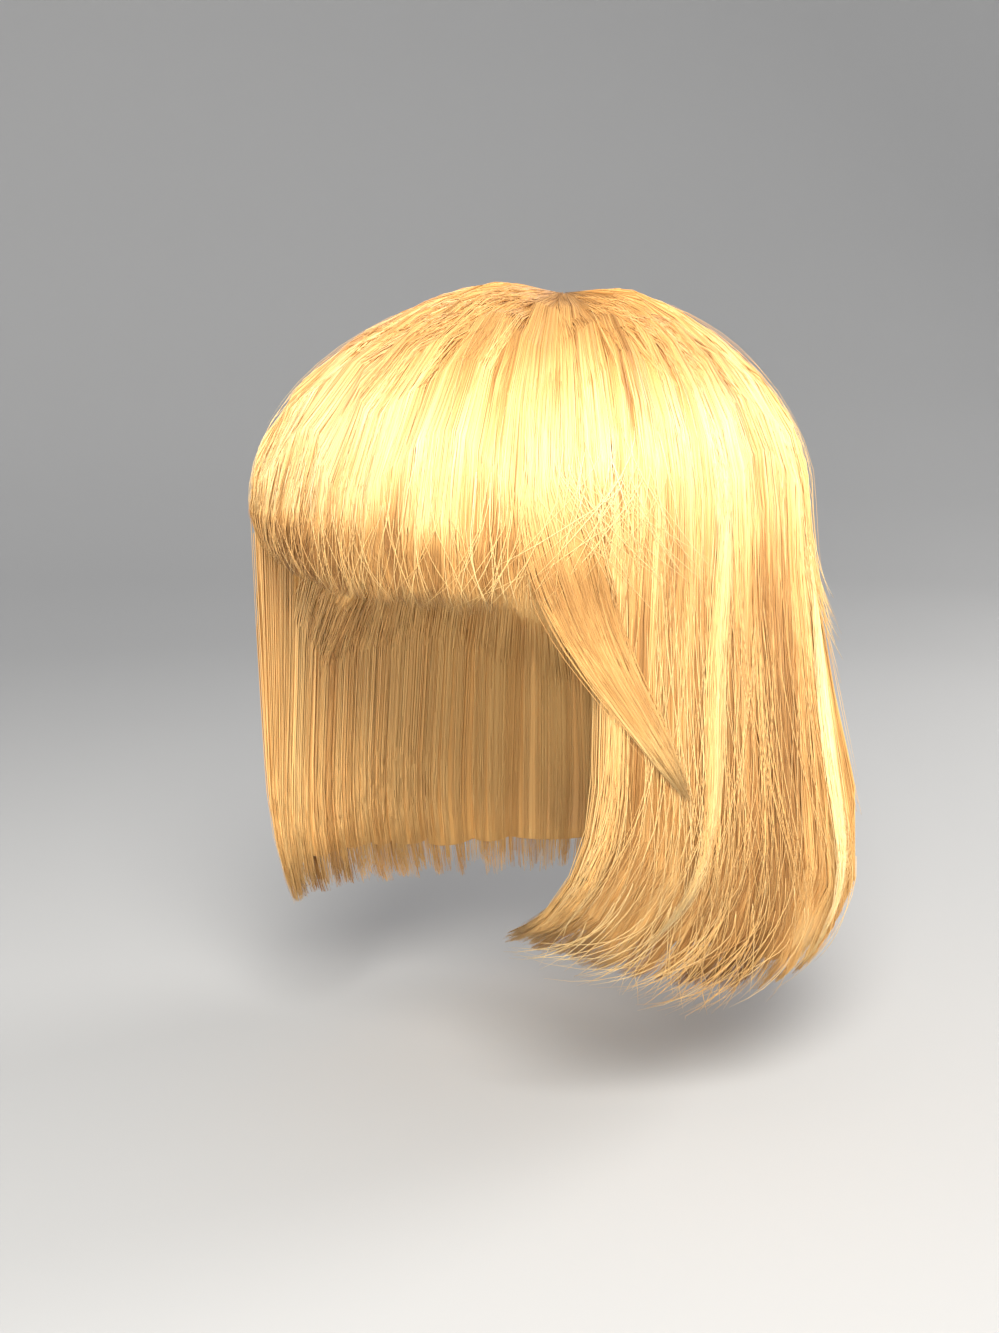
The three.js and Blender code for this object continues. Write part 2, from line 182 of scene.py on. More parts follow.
class Flow:
    """The outer face of a run of hair by angle and level: -1 is the whorl, 0 the start of the fall
    and 1 the tips."""

    def __init__(self, sections, length, thickness):
        self.sections, self.length, self.thickness = sections, length, thickness
        self.angles = np.arange(-180, 181)
        dome_levels = np.linspace(-1, 0, DOME_LEVELS)[:-1]
        fall_levels = np.linspace(0, LAST_LEVEL, FALL_LEVELS)
        self.levels = np.concatenate([dome_levels, fall_levels])
        parts = zip(self.dome(dome_levels), self.fall(fall_levels))
        self.points, self.inward = (np.concatenate(pair, axis=1) for pair in parts)

    def column(self, name, angle):
        return np.interp(wrap(angle), self.sections["angle"], self.sections[name])

    def reach(self, angle):
        plan = plan_radius(
            angle,
            HEAD_HALF_WIDTH + CAP_WALL + HAIR_AT_SIDES,
            HEAD_FRONT + CAP_WALL + HAIR_AT_FRONT,
            HEAD_BACK + CAP_WALL + HAIR_AT_BACK,
            PLAN_SQUARENESS,
        )
        return self.column("swell", angle) * plan

    def dome(self, levels):
        reach, full = self.reach(self.angles)[:, None], self.column("full", self.angles)[:, None]
        turn = np.maximum(np.pi / 2 * (1 + levels), 1e-4)[None, :]
        rise = HANG_DROP + CAP_WALL + HAIR_OVER_TOP
        spread = np.sin(turn) ** full
        whorl = np.array([WHORL_SIDE, WHORL_BACK, 0])
        out = outward(self.angles)[:, None]
        from_whorl = -whorl * spread[..., None] + out * (reach * spread)[..., None]
        crease = outward(CREASE_ANGLE)
        along = np.clip(from_whorl @ crease, -CREASE_BEHIND, CREASE_AHEAD)
        off_crease = np.linalg.norm(from_whorl - along[..., None] * crease, axis=-1)
        points = whorl + from_whorl
        dip = CREASE_DEPTH * np.exp(-((off_crease / CREASE_HALF_WIDTH) ** 2))
        points[..., 2] = rise * np.cos(turn) - HANG_DROP - dip
        run = reach * full * np.sin(turn) ** (full - 1) * np.cos(turn)
        lean = np.arctan2(run, rise * np.sin(turn))
        return points, self.into_hair(np.broadcast_to(self.angles[:, None], lean.shape), lean)

    def fall(self, levels):
        start = self.column("start", self.angles)[:, None]
        middles = (levels[1:] + levels[:-1])[None, :] / 2
        strides = np.diff(levels)[None, :] * self.length * self.column("length", self.angles)[:, None]
        bend = lambda s: np.maximum(0, (s - start) / (1 - start))
        opening = lambda s: np.sin(np.pi / 2 * np.clip(s / np.maximum(start, 0.3), 0, 1)) ** 0.45
        flare, curl, sweep = (self.column(k, self.angles)[:, None] for k in ("flare", "curl", "sweep"))
        lean = lambda s: np.radians(flare * opening(s) * (1 - bend(s)) - curl * bend(s) ** 1.2)
        aside = np.radians(sweep * bend(middles))
        total = lambda steps: np.cumsum(np.pad(steps, ((0, 0), (1, 0))), axis=1)
        radius = self.reach(self.angles)[:, None] + total(strides * np.sin(lean(middles)))
        turned = strides * np.sin(aside) / ((radius[:, 1:] + radius[:, :-1]) / 2)
        heading = self.angles[:, None] + np.degrees(total(turned))
        z = -HANG_DROP - total(strides * np.cos(lean(middles)) * np.cos(aside))
        points = outward(heading) * radius[..., None]
        points[..., 2] = z
        return points, self.into_hair(heading, lean(levels[None, :] + 0 * start))

    @staticmethod
    def into_hair(angle, lean):
        direction = -outward(angle) * np.cos(lean)[..., None]
        direction[..., 2] = -np.sin(lean)
        return direction

    def read(self, table, angle, level):
        a = np.asarray(wrap(angle)) + 180
        l = np.interp(level, self.levels, np.arange(len(self.levels)))
        a0, l0 = np.minimum(a.astype(int), 359), np.minimum(l.astype(int), len(self.levels) - 2)
        fa, fl = (a - a0)[..., None], (l - l0)[..., None]
        low = mix(table[a0, l0], table[a0, l0 + 1], fl)
        return mix(low, mix(table[a0 + 1, l0], table[a0 + 1, l0 + 1], fl), fa)

    def at(self, angle, level, depth=0.0):
        """Points at arrays of angles and levels, depth metres into the hair, and the way inward."""
        angle, level = np.broadcast_arrays(angle, level)
        inward = unit(self.read(self.inward, angle, level))
        return self.read(self.points, angle, level) + inward * np.asarray(depth)[..., None], inward

    def wall(self, level):
        return mix(self.thickness, TIP_THICKNESS, np.clip(level, 0, 1) ** 1.5)

    def inner(self, angle, level):
        """The inner face: on the cap down to its rim, and then the wall's thickness behind."""
        points, inward = self.at(angle, level)
        patch = np.array([WHORL_SIDE, WHORL_BACK - PATCH_HALF_LENGTH / 2])
        from_patch = np.linalg.norm(points[..., :2] - patch, axis=-1) / PATCH_HALF_LENGTH
        over_patch = (PATCH_GAP + PATCH_WALL) * ease((3.2 - from_patch) / 2)
        on_cap = head_under(points, CAP_WALL + CAP_GAP + over_patch)
        hanging = points + inward * self.wall(level)[..., None]
        share = ease((rim_level(angle) - points[..., 2]) / RIM_EASE)
        return mix(on_cap, hanging, share[..., None])


fall = Flow(FALL_SECTIONS, FALL_LENGTH, FALL_THICKNESS)
brow = Flow(FRINGE_SECTIONS, FRINGE_LENGTH, FRINGE_THICKNESS)


# Meshes

def make_piece(name, points, faces, values, bake_map, finish):
    """A mesh object. faces is a list of index arrays, one for each number of corners; values are
    numbers for each point by name; bake_map gives each corner's place on the map. The triangles that
    close a strand's ends stay flat."""
    mesh = bpy.data.meshes.new(name)
    mesh.vertices.add(len(points))
    mesh.vertices.foreach_set("co", np.asarray(points, np.float32).ravel())
    corners = np.concatenate([f.ravel() for f in faces]).astype(np.int32)
    counts = np.concatenate([np.full(len(f), f.shape[1]) for f in faces])
    mesh.loops.add(len(corners))
    mesh.loops.foreach_set("vertex_index", corners)
    mesh.polygons.add(len(counts))
    mesh.polygons.foreach_set("loop_start", np.concatenate([[0], np.cumsum(counts)[:-1]]).astype(np.int32))
    for key, numbers in values.items():
        store = mesh.attributes.new(key, "FLOAT", "POINT")
        store.data.foreach_set("value", np.asarray(numbers, np.float32).ravel())
    bake = mesh.uv_layers.new(name="OFBake")
    bake.data.foreach_set("uv", np.asarray(bake_map, np.float32).ravel())
    mesh.update(calc_edges=True)
    mesh.polygons.foreach_set("use_smooth", counts > 3)
    mesh.validate()
    obj = bpy.data.objects.new(name, mesh)
    bpy.context.collection.objects.link(obj)
    mesh.materials.append(finish)
    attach(obj, "root")
    return obj


MAP_SLIVER = 0.01  # a strand's width on the map
ROUND = 3  # sides of a strand


def lay_strands(name, path, inward, width, tint, place):
    """Closed tapered tubes. path and inward are (strand, step, 3), and width, tint and place (strand,
    step), and one of a tube's sides faces out. place runs from 0 at the whorl to 1 past the tips, and
    tint from 0, dark, to 1, pale. The map has tint across and place down, so strands that share a spot
    of it share its colour too."""
    n, m, _ = path.shape
    along = unit(np.gradient(path, axis=1))
    side = unit(np.cross(along, inward))
    into = np.cross(side, along)
    turn = np.pi / 2 + 2 * np.pi * np.arange(ROUND) / ROUND
    ring = side[:, :, None] * np.cos(turn)[:, None] + into[:, :, None] * np.sin(turn)[:, None]
    points = path[:, :, None] + ring * (width / 2)[:, :, None, None]
    first = (np.arange(n) * m * ROUND)[:, None, None]
    row, k = np.meshgrid(np.arange(m - 1), np.arange(ROUND), indexing="ij")
    a, b = first + row * ROUND + k, first + row * ROUND + (k + 1) % ROUND
    sides = np.stack([a, a + ROUND, b + ROUND, b], axis=-1).reshape(-1, 4)
    root = first[:, 0, 0, None]
    ends = np.stack([root + [0, 1, 2], root + (m - 1) * ROUND + [2, 1, 0]], axis=1)
    tint = np.clip(tint, MAP_SLIVER, 1 - MAP_SLIVER)
    place = np.clip(place, 0, 1)
    corners = lambda grid: np.stack([grid[:, r] for r in (row, row + 1, row + 1, row)], axis=-1)
    across = (np.stack([k, k, k + 1, k + 1], axis=-1) / ROUND - 0.5) * MAP_SLIVER
    side_map = np.stack([corners(tint) + across, corners(place)], axis=-1).reshape(-1, 2)
    tips = lambda grid: np.stack([grid[:, 0]] * 3 + [grid[:, -1]] * 3, axis=-1).ravel()
    bake_map = np.concatenate([side_map, np.stack([tips(tint), tips(place)], axis=-1)])
    values = {"tint": np.repeat(tint.ravel(), ROUND), "place": np.repeat(place.ravel(), ROUND)}
    obj = make_piece(name, points.reshape(-1, 3), [sides, ends.reshape(-1, 3)], values, bake_map, fibre)
    return obj


FACE_SHARE = 0.49  # how much of the map's height each face of a body takes


def shell(name, outer, inner, values, finish):
    """A closed body between two grids of points, (column, row, 3) each, seen from outside with the
    columns running to the left. values are grids of numbers for the outer face by name."""
    c, r, _ = outer.shape
    number = np.arange(2 * c * r).reshape(2, c, r)
    out, back = number
    place = np.stack(np.meshgrid(np.linspace(0, 1, c), np.linspace(0, 1, r), indexing="ij"), axis=-1)
    spot = (place * [1, FACE_SHARE]).reshape(-1, 2)
    spot = np.concatenate([spot, spot + [0, 1 - FACE_SHARE]])

    def strip(g, flip):
        q = np.stack([g[:-1, :-1], g[:-1, 1:], g[1:, 1:], g[1:, :-1]], axis=-1).reshape(-1, 4)
        return q[:, ::-1] if flip else q

    def edge(a, b):
        return np.stack([a[:-1], a[1:], b[1:], b[:-1]], axis=-1)

    quads = np.concatenate([
        strip(out, False), strip(back, True),
        edge(out[:, 0], back[:, 0]), edge(back[:, -1], out[:, -1]),
        edge(back[0], out[0]), edge(out[-1], back[-1]),
    ])
    both = {key: np.concatenate([grid.ravel(), grid.ravel()]) for key, grid in values.items()}
    points = np.concatenate([outer.reshape(-1, 3), inner.reshape(-1, 3)])
    return make_piece(name, points, [quads], both, spot[quads].reshape(-1, 2), finish)


# Finishes

class Wire:
    """A number in a finish that varies over the surface. Sums with it add Math nodes."""

    def __init__(self, finish, socket):
        self.finish, self.socket = finish, socket

    def sum(self, operation, *terms):
        return self.finish.node("ShaderNodeMath", {"operation": operation}, dict(enumerate(terms)))

    def __add__(self, other):
        return self.sum("ADD", self, other)

    def __sub__(self, other):
        return self.sum("SUBTRACT", self, other)

    def __rsub__(self, other):
        return self.sum("SUBTRACT", other, self)

    def __mul__(self, other):
        return self.sum("MULTIPLY", self, other)

    def __truediv__(self, other):
        return self.sum("DIVIDE", self, other)

    def __pow__(self, other):
        return self.sum("POWER", self, other)

    def __lt__(self, other):
        return self.sum("LESS_THAN", self, other)

    def __gt__(self, other):
        return self.sum("GREATER_THAN", self, other)

    def __mod__(self, other):
        return self.sum("FLOORED_MODULO", self, other)

    def held(self):
        """Kept between 0 and 1."""
        return self.sum("MINIMUM", self.sum("MAXIMUM", self, 0.0), 1.0)

    def sine(self):
        return self.sum("SINE", self)

    __radd__, __rmul__ = __add__, __mul__


class Finish:
    """A material made of nodes around one Principled shader."""

    def __init__(self, name, **constants):
        self.material = bpy.data.materials.new(name)
        self.material.use_nodes = True
        self.tree = self.material.node_tree
        self.shader = self.tree.nodes["Principled BSDF"]
        for key, value in constants.items():
            self.shader.inputs[key.replace("_", " ").title().replace("Ior", "IOR")].default_value = value

    def node(self, kind, settings, inputs, output=0):
        made = self.tree.nodes.new(kind)
        for key, value in settings.items():
            if key == "stops":
                ramp = made.color_ramp.elements
                while len(ramp) < len(value):
                    ramp.new(1.0)
                for element, (place, colour) in zip(ramp, value):
                    element.position, element.color = place, (*colour, 1.0)
            else:
                setattr(made, key, value)
        for key, value in inputs.items():
            if isinstance(value, Wire):
                self.tree.links.new(value.socket, made.inputs[key])
            else:
                made.inputs[key].default_value = value
        return Wire(self, made.outputs[output])

    def value(self, name):
        return self.node("ShaderNodeAttribute", {"attribute_name": name}, {}, "Fac")

    def axes(self):
        """The place on the piece, in metres, as three numbers."""
        here = self.node("ShaderNodeTexCoord", {}, {}, "Object")
        return [self.node("ShaderNodeSeparateXYZ", {}, {0: here}, k) for k in range(3)]

    def vector(self, x, y, z):
        return self.node("ShaderNodeCombineXYZ", {}, {0: x, 1: y, 2: z})

    def noise(self, place, scale, detail=2.0):
        return self.node("ShaderNodeTexNoise", {}, {"Vector": place, "Scale": scale, "Detail": detail})

    def blend(self, share, a, b):
        return self.node("ShaderNodeMix", {"data_type": "RGBA"}, {0: share, 6: a, 7: b}, 2)

    def ramp(self, share, *stops):
        return self.node("ShaderNodeValToRGB", {"stops": stops}, {0: share})

    def feed(self, socket, wire):
        self.tree.links.new(wire.socket, self.shader.inputs[socket])

    def bump(self, height, strength, depth):
        inputs = {"Height": height, "Strength": strength, "Distance": depth}
        self.feed("Normal", self.node("ShaderNodeBump", {}, inputs))


# Colours of the fibre, from the dark roots and the painted shade between locks to the palest strands and
# painted highlights
ROOT_AND_SHADE_BROWN = (0.42, 0.2, 0.055)
HONEY = (0.72, 0.4, 0.13)
GOLD = (0.88, 0.58, 0.23)
BUTTER = (0.93, 0.7, 0.34)
PALE = (0.97, 0.84, 0.55)
FIBRE_STOPS = ((0.0, ROOT_AND_SHADE_BROWN), (0.25, HONEY), (0.5, GOLD), (0.75, BUTTER), (1.0, PALE))


def fibre_finish():
    """Single strands: each has its own tint, which carries painted highlight and shade too, darker at the
    root and warmer at the tip.
    """
    finish = Finish("golden_fibre", specular_ior_level=0.6)
    tint, place = finish.value("tint"), finish.value("place")
    root = (1 - place / 0.14).held()
    tip = ((place - 0.85) / 0.15).held()
    shade = tint - 0.16 * root**2.0 - 0.05 * tip
    finish.feed("Base Color", finish.ramp(shade.held(), *FIBRE_STOPS))
    finish.feed("Roughness", 0.44 - 0.12 * tint)
    return finish.material


def lock_finish():
    """The bodies of the locks: fine fibre lines that run along the flow, in streaks of tint, with painted
    shade in the valleys.
    """
    finish = Finish("golden_locks", specular_ior_level=0.4)
    around, down, valley = finish.value("around"), finish.value("down"), finish.value("valley")
    fine = finish.noise(finish.vector(around, down * 0.004, 0.0), 1.7, 2.0)
    broad = finish.noise(finish.vector(around, down * 0.006, 5.0), 0.25, 1.0)
    # Painted shade: darker by valley, in the grooves between locks and at the sides of the long locks'
    # bodies
    shade = 0.36 + 0.45 * (fine - 0.5) + 0.4 * (broad - 0.5) - 0.16 * valley
    finish.feed("Base Color", finish.ramp(shade.held(), *FIBRE_STOPS))
    finish.feed("Roughness", 0.4 + 0.2 * fine)
    finish.bump(fine, 0.6, 0.0006)
    return finish.material


NET_TAN = (0.5, 0.36, 0.22)
NET_PALE = (0.68, 0.53, 0.36)
WEFT_BROWN = (0.4, 0.25, 0.12)
SKIN = (0.72, 0.45, 0.27)
SKIN_PALE = (0.8, 0.55, 0.36)
KNOT_BROWN = (0.2, 0.1, 0.04)


WEFT_STRIDE, WEFT_HEIGHT = 11 * MM, 2.1 * MM


def net_finish():
    """Stretch net with sewn wefts, laid out by height and by the way around the head."""
    finish = Finish("beige_net", specular_ior_level=0.2)
    x, y, z = finish.axes()
    up = z + HEAD_RISE
    reach = (x * x + y * y) ** 0.5
    around = x.sum("ARCTAN2", x, y) * HEAD_HALF_WIDTH
    on_dome = up.sum("ARCTAN2", up, reach) * HEAD_RISE
    down = on_dome * (up > 0) + up * (up < 0)
    mesh = (around * 4200).sine() * (down * 4200).sine()
    weft = (down + 0.2) % WEFT_STRIDE < WEFT_HEIGHT
    stitch = (around * 2400).sine() * 0.5 + 0.5
    holes = (mesh * 0.5 + 0.5).held()
    cloth = finish.ramp(holes, (0.2, NET_TAN), (0.7, NET_PALE))
    finish.feed("Base Color", finish.blend(weft * (0.6 + 0.4 * stitch), cloth, (*WEFT_BROWN, 1)))
    finish.feed("Roughness", 0.75 + 0.15 * holes)
    finish.bump(holes * 0.35 + weft * (0.6 + 0.4 * stitch), 0.7, 0.0008)
    return finish.material


def scalp_finish():
    """Skin-coloured film with a knotted root every millimetre or so."""
    finish = Finish("scalp_film", specular_ior_level=0.3)
    x, y, z = finish.axes()
    cell = finish.node("ShaderNodeTexVoronoi", {}, {"Vector": finish.vector(x, y, z), "Scale": 720.0})
    knot = (1 - cell * 3.2).held()
    mottle = finish.noise(finish.vector(x, y, z), 90.0)
    skin = finish.blend(mottle, (*SKIN, 1), (*SKIN_PALE, 1))
    finish.feed("Base Color", finish.blend(knot, skin, (*KNOT_BROWN, 1)))
    finish.feed("Roughness", 0.55 + 0.2 * mottle)
    finish.bump(knot, 0.5, 0.0004)
    return finish.material


def dress(node, finish):
    """Gives a node of the part its finish, and leaves its shape as it is."""
    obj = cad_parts[node]
    obj.data.materials.clear()
    obj.data.materials.append(finish)


fibre = fibre_finish()
locks = lock_finish()
dress("cap", net_finish())
dress("scalp_patch", scalp_finish())


# The bodies of the panels, which lie under the strands

PANELS = {
    "fringe": (brow, -56, 61, 9, 0.78),
    "left_side_hair": (fall, 61, 108, 5, 0.88),
    "back_hair": (fall, 108, 252, 11, 0.93),
    "right_side_hair": (fall, 252, 304, 5, 0.92),
}
BODY_SINK = 3.0 * MM  # the bodies' depth below the outer face
GROOVES = ((5.2, 1.0 * MM), (1.9, 0.4 * MM))  # width of a groove in mm, and its depth
COLUMN_MM = 1.7


def lock_place(angle, panel):
    """How far each angle is from a valley (0) to the middle of its lock (1)."""
    _, start, end, count = panel[:4]
    borders = np.arange(count + 1.0)
    borders[1:-1] += 0.22 * np.sin(2.4 * borders[1:-1] + count)
    borders = mix(start, end, borders / count)
    number = np.clip(np.searchsorted(borders, angle, side="right") - 1, 0, count - 1)
    within = (angle - borders[number]) / (borders[number + 1] - borders[number])
    return 1 - np.abs(np.clip(2 * within - 1, -1, 1)) ** 2.2


def bare_level(flow, angle, share=1.0):
    """The level where the bare spot at the whorl ends."""
    near = np.maximum(0, np.cos(np.radians(angle - CREASE_ANGLE))) ** 4
    spread = share * (BARE_RADIUS + BARE_ALONG_CREASE * near) / flow.reach(angle)
    return 2 / np.pi * np.arcsin(np.clip(spread ** (1 / flow.column("full", angle)), 0, 1)) - 1


def panel_body(name, rng):
    flow, start, end, _, last = PANELS[name]
    hang_mm = flow.reach(np.array([(start + end) / 2]))[0] / MM
    columns = int(math.radians(end - start) * hang_mm / COLUMN_MM)
    angle = np.linspace(start + 0.2, end - 0.2, columns)
    rows = np.concatenate([np.linspace(0, 1, 15)[:-1], 1 + np.linspace(0, 1, 25 if flow is fall else 11)])
    crown = lock_place(angle, PANELS[name])
    hem = last - 0.012 * (1 - crown)
    level = np.where(rows < 1, mix(bare_level(flow, angle)[:, None], 0, rows), (rows - 1) * hem[:, None])
    around = np.radians(angle) * hang_mm
    relief = LOCK_RELIEF * ease(1.4 * (1 + level)) * (1 - crown)[:, None]
    for width, deep in GROOVES:
        wander = np.cumsum(rng.normal(0, 0.06, (1, level.shape[1])), axis=1)
        phase = around[:, None] / width + wander + rng.normal(0, 0.05, (columns, 1)).cumsum(axis=0)
        relief = relief + deep * (0.5 - 0.5 * np.cos(2 * np.pi * phase)) * ease(1.3 * (1 + level))
    inner = flow.inner(angle[:, None] + 0 * level, level)
    face, _ = flow.at(angle[:, None] + 0 * level, level)
    room = np.linalg.norm(inner - face, axis=-1)
    sunk = np.minimum(BODY_SINK + relief, 0.75 * room)
    outer = face + unit(inner - face) * sunk[..., None]
    values = {
        "around": np.broadcast_to(around[:, None], level.shape),
        "down": np.where(level < 0, 1 + level, 1 + 1.6 * level) * 120,
        # valley is painted shade, darker in the grooves between locks
        "valley": relief / relief.max(),
    }
    body = shell(name + "_body", outer, inner, values, locks)
    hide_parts(name)
    return body


for seed, name in enumerate(PANELS):
    panel_body(name, np.random.default_rng(seed))


# The strands

UNEVEN = 0.35  # how far the borders of groups stray, as a share of a group
TRESS, WISP = 2.8, 0.9  # widths of a tress and of a wisp in it, in degrees


def groups_of(angle, width, rng):
    """Sorts angles into groups of about width degrees. Gives the middle of each strand's group, its
    place across the group from -1 to 1, and the group's number."""
    first, last = angle.min(), angle.max()
    count = max(2, int((last - first) / width))
    borders = np.linspace(first, last, count + 1)
    borders[1:-1] += rng.uniform(-UNEVEN, UNEVEN, count - 1) * width
    number = np.clip(np.searchsorted(borders, angle) - 1, 0, count - 1)
    middle = (borders[number] + borders[number + 1]) / 2
    half = (borders[number + 1] - borders[number]) / 2
    return middle, (angle - middle) / half, number, count


def region_tint_and_painted_light(angle, level):
    """How much paler or darker the hair is by region, at arrays of angles and levels: painted highlight and
    painted shade of the lit hair, and soft patches of its own.
    """
    angle = wrap(angle)
    near = lambda x, middle, half: np.exp(-(((x - middle) / half) ** 2))
    below = ease((level + 0.03) / 0.25)
    return (
        # Painted highlight: a pale band around the brow. Painted shade above it, warm and darker, most so
        # before the whorl
        0.22 * near(level, -0.16, 0.13) * (0.4 + 0.6 * near(angle, 30, 80))
        - 0.24 * ease((-0.26 - level) / 0.14)
        - 0.07 * near(angle, 50, 17) * ease((-0.3 - level) / 0.08)
        # Painted shade, warm and darker: at the fringe's turned-under tips, at the right, and where the
        # swept lock leaves the fringe
        - 0.36 * near(angle, -35, 55) * ease((level + 0.08) / 0.2)
        - 0.26 * near(angle, 55, 16) * near(level, 0.12, 0.15)
        # Painted shade: darker below the band and tan behind the left ear. Pale at the left back: a paler
        # lock with a painted rim highlight
        - 0.2 * below
        - 0.26 * near(angle, 99, 15) * below
        + 0.16 * near(angle, 123, 5) * below
        # Painted shade, warm and darker, halfway down the left front edge; painted light, paler, at its
        # tips and at every hem
        - 0.24 * near(angle, 62, 7) * near(level, 0.5, 0.2)
        + 0.18 * near(angle, 62, 13) * ease((level - 0.68) / 0.15)
        + 0.12 * ease((level - 0.55) / 0.3)
        # Soft patches and streaks everywhere
        + 0.03 * np.sin(0.55 * angle + 3 * level + 1)
        + 0.03 * np.sin(0.21 * angle - 5 * level + 2.2)
        + 0.025 * np.sin(1.3 * angle + 2 * level)
    )


# The steps of a strand are even along its run, which is longer where the hair bends more
KNOTS = [-1.0, -0.8, -0.3, 0.0, 1.0, LAST_LEVEL]
BROW_RUN = [0, 80, 160, 200, 280, 290]
FALL_RUN = [0, 50, 170, 240, 400, 425]
LEAST_RUN = 1.2


def levels_between(flow, angle, first, last, steps):
    """Levels from first to last, closer together where the hair bends more, and in step with the
    strands beside them, so that neighbours bend together. Also the share of the way that each is."""
    run = BROW_RUN if flow is brow else FALL_RUN
    start, end = np.interp(np.stack([first, last]), KNOTS, run)[..., None]
    j = np.arange(steps)
    shared = run[-2] * (j - 0.5 + 0.4 * np.sin(0.17 * angle)[:, None]) / (steps - 2)
    places = np.clip(shared, start + LEAST_RUN * j, end - LEAST_RUN * (steps - 1 - j))
    places[:, 0], places[:, -1] = start[:, 0], end[:, 0]
    return np.interp(places, run, KNOTS), (places - start) / (end - start)


def place_of(level):
    """How far along the hair a level is, from 0 at the whorl to 1 at the tips."""
    return np.where(level < 0, 0.5 * (1 + level), 0.5 + 0.47 * level)


def fibre_width(count, share, level, rng, width_mm):
    """Widths of count strands, finer towards the whorl and at the ends."""
    width = width_mm * MM * rng.uniform(0.75, 1.25, count)[:, None]
    return width * mix(0.6, 1, ease((level + 1) / 0.5)) * mix(1, 0.25, ease((share - 0.7) / 0.3))


ROOTED_SHARE = 0.8  # strands that start at the whorl, and not below it
CREASED_SHARE, CREASE_REACH = 0.25, 85  # those that start along its crease, within so many degrees
CROSSING_SHARE = 0.035  # those that cross their neighbours
LEAST_COVER = 0.5 * MM  # hair that stays between a strand and the inner face
PANEL_TINT = 0.43


